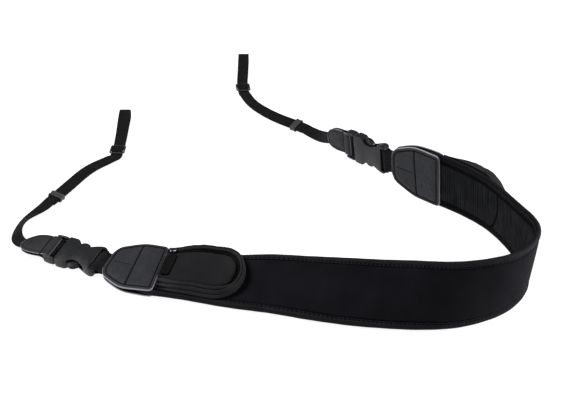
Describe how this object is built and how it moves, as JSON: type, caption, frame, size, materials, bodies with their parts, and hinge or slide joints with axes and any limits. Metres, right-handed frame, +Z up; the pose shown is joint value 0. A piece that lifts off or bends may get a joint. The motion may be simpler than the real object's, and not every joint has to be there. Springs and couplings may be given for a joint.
{
  "type": "camera neck strap",
  "caption": "Padded neck strap laid in an open curve: wide neoprene pad with bound edges and zipped pockets, leather tabs, side-release buckles and thin adjustable webbing tails.",
  "frame": {"origin": "centre of the laid strap's box on the surface it rests on", "axes": "+Z up from the surface, +Y away from the picture's viewer along the laid tails, +X to the right along the front of the pad"},
  "size_m": [0.487, 0.5418, 0.0601],
  "materials": {
    "shoulder_pad": "smooth black neoprene",
    "grip_lining": "ribbed black grip lining",
    "lower_binding": "black bound edge",
    "upper_binding": "black bound edge",
    "left_outer_tab": "dark grey grained leather",
    "left_inner_tab": "dark grey grained leather",
    "left_buckle_loop": "black woven webbing",
    "left_pocket_wall": "black neoprene",
    "left_pocket_zip": "black coil zip",
    "left_pocket_flap": "black neoprene",
    "left_zip_slider": "dark metal",
    "left_zip_pull": "matt black rubber",
    "left_buckle_female": "satin dark grey",
    "left_buckle_male": "satin dark grey",
    "left_tip": "dark grey grained leather",
    "left_tail": "black woven webbing",
    "left_keeper": "dark grey rubber",
    "left_tri_glide": "satin black",
    "right_outer_tab": "dark grey grained leather",
    "right_inner_tab": "dark grey grained leather",
    "right_buckle_loop": "black woven webbing",
    "right_pocket_wall": "black neoprene",
    "right_pocket_zip": "black coil zip",
    "right_pocket_flap": "black neoprene",
    "right_zip_slider": "dark metal",
    "right_zip_pull": "matt black rubber",
    "right_buckle_female": "satin dark grey",
    "right_buckle_male": "satin dark grey",
    "right_tip": "dark grey grained leather",
    "right_tail": "black woven webbing",
    "right_keeper": "dark grey rubber",
    "right_tri_glide": "satin black"
  },
  "bodies": {
    "root": {"shoulder_pad": "shoulder_pad", "grip_lining": "grip_lining", "lower_binding": "lower_binding", "upper_binding": "upper_binding", "left_outer_tab": "left_outer_tab", "left_inner_tab": "left_inner_tab", "left_buckle_loop": "left_buckle_loop", "left_pocket_wall": "left_pocket_wall", "left_pocket_zip": "left_pocket_zip", "left_pocket_flap": "left_pocket_flap", "left_zip_slider": "left_zip_slider", "left_zip_pull": "left_zip_pull", "left_buckle_female": "left_buckle_female", "left_buckle_male": "left_buckle_male", "left_tip": "left_tip", "left_tail": "left_tail", "left_keeper": "left_keeper", "left_tri_glide": "left_tri_glide", "right_outer_tab": "right_outer_tab", "right_inner_tab": "right_inner_tab", "right_buckle_loop": "right_buckle_loop", "right_pocket_wall": "right_pocket_wall", "right_pocket_zip": "right_pocket_zip", "right_pocket_flap": "right_pocket_flap", "right_zip_slider": "right_zip_slider", "right_zip_pull": "right_zip_pull", "right_buckle_female": "right_buckle_female", "right_buckle_male": "right_buckle_male", "right_tip": "right_tip", "right_tail": "right_tail", "right_keeper": "right_keeper", "right_tri_glide": "right_tri_glide"}
  },
  "joints": []
}
